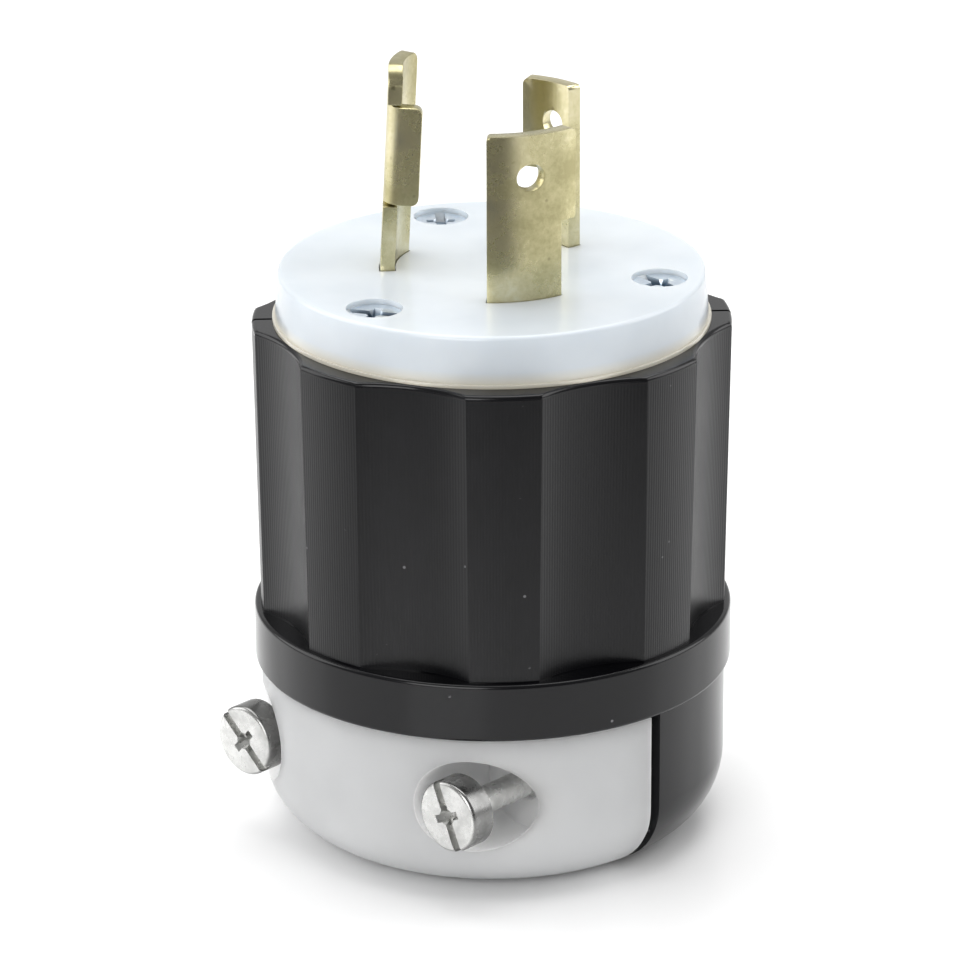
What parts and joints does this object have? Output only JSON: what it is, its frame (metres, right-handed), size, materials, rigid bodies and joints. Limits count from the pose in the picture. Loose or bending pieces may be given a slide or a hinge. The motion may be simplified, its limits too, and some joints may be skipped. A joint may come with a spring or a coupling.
{
  "type": "locking power plug",
  "caption": "Round locking power plug with curved brass blades in a white front, a scalloped black grip and a two-screw cord clamp at its foot.",
  "frame": {"origin": "on the plug's axis, in the flat foot of its cord end", "axes": "+Z along the plug's axis, from the cord end to the blades; the loose cord clamp faces -Y"},
  "size_m": [0.057, 0.057, 0.0941],
  "materials": {
    "black_nylon": "moulded, fine reeding",
    "white_nylon": "moulded satin",
    "pale_nylon": "translucent natural nylon",
    "brass": "stamped, lightly tarnished",
    "brass_screw": "turned",
    "green_screw": "green lacquer",
    "zinc_steel": "zinc plated",
    "nickel_screw": "nickel plated"
  },
  "bodies": {
    "plug_body": {"housing": "black_nylon", "front_face": "white_nylon", "terminal_block": "white_nylon", "neutral_blade": "brass", "line_blade": "brass", "ground_blade": "brass", "neutral_terminal_screw": "nickel_screw", "line_terminal_screw": "brass_screw", "ground_terminal_screw": "green_screw", "neutral_wire_plate": "nickel_screw", "line_wire_plate": "brass_screw", "ground_wire_plate": "green_screw", "assembly_screw_1": "zinc_steel", "assembly_screw_2": "zinc_steel", "assembly_screw_3": "zinc_steel", "clamp_nut_left": "nickel_screw", "clamp_nut_right": "nickel_screw"},
    "cord_clamp": {"cord_clamp": "pale_nylon"},
    "clamp_screw_left": {"clamp_screw_left": "nickel_screw"},
    "clamp_screw_right": {"clamp_screw_right": "nickel_screw"}
  },
  "joints": [
    {"name": "cord_clamp_slide", "type": "slide", "parent": "plug_body", "child": "cord_clamp", "axis": [0, -1, 0], "range_m": [-0.00125, 0.0097]},
    {"name": "left_screw_turn", "type": "hinge", "parent": "plug_body", "child": "clamp_screw_left", "pos_m": [-0.0165, -0.0262, 0.0124], "axis": [0, -1, 0], "continuous": true},
    {"name": "right_screw_turn", "type": "hinge", "parent": "plug_body", "child": "clamp_screw_right", "pos_m": [0.0165, -0.0262, 0.0124], "axis": [0, -1, 0], "continuous": true}
  ]
}
